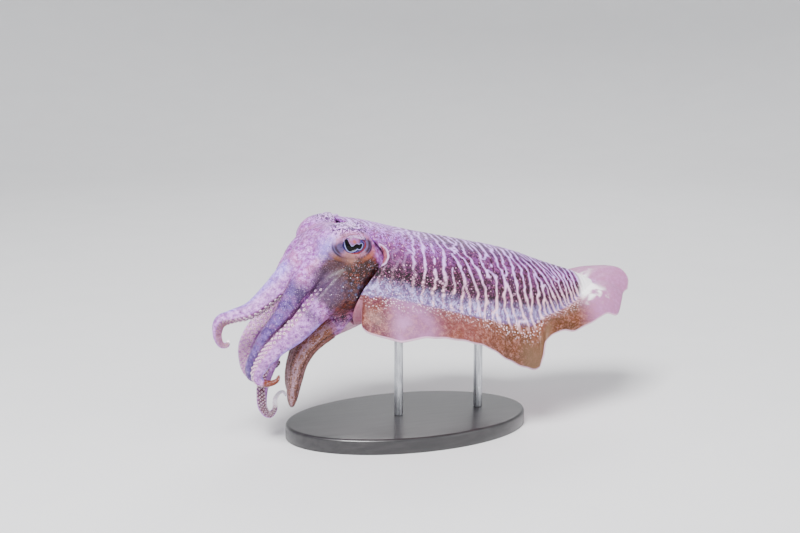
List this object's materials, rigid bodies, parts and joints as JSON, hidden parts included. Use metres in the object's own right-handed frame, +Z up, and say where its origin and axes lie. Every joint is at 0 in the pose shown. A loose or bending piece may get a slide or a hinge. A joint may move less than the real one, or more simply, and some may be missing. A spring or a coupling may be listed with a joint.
{
  "type": "cuttlefish model",
  "caption": "Still life-size model of a swimming common cuttlefish with hanging arms and wavy fins, held on rods above a flat oval base.",
  "frame": {"origin": "centre of the underside of the stand's base", "axes": "+X from the head to the tail, +Y to the animal's right, +Z up"},
  "size_m": [0.3062, 0.1328, 0.1475],
  "materials": {
    "mantle_skin": "moist skin, dark brown with pale wavy lines",
    "fin_skin": "moist skin, pale pinkish orange",
    "head_skin": "moist skin, mottled lilac and brown",
    "arm_skin": "moist skin, pale lilac with fine dark dots",
    "eye_globe": "silvery iris under a clear cover",
    "pupil": "black",
    "stand_base": "satin black",
    "stand_rod": "brushed"
  },
  "bodies": {
    "root": {"arm_left_1_base": "arm_skin", "arm_left_1_middle": "arm_skin", "arm_left_1_tip": "arm_skin", "arm_left_2_base": "arm_skin", "arm_left_2_middle": "arm_skin", "arm_left_2_tip": "arm_skin", "arm_left_3_base": "arm_skin", "arm_left_3_middle": "arm_skin", "arm_left_3_tip": "arm_skin", "arm_left_4_base": "arm_skin", "arm_left_4_tip": "arm_skin", "arm_right_1_base": "arm_skin", "arm_right_1_middle": "arm_skin", "arm_right_1_tip": "arm_skin", "arm_right_2_base": "arm_skin", "arm_right_2_middle": "arm_skin", "arm_right_2_tip": "arm_skin", "arm_right_3_base": "arm_skin", "arm_right_3_middle": "arm_skin", "arm_right_3_tip": "arm_skin", "arm_right_4_base": "arm_skin", "arm_right_4_tip": "arm_skin", "eye_left": "eye_globe", "eye_right": "eye_globe", "fin_left": "fin_skin", "fin_right": "fin_skin", "funnel": "head_skin", "head": "head_skin", "mantle": "mantle_skin", "mouth": "head_skin", "pupil_left": "pupil", "pupil_right": "pupil", "stand_base": "stand_base", "stand_rod_front": "stand_rod", "stand_rod_rear": "stand_rod"}
  },
  "joints": []
}
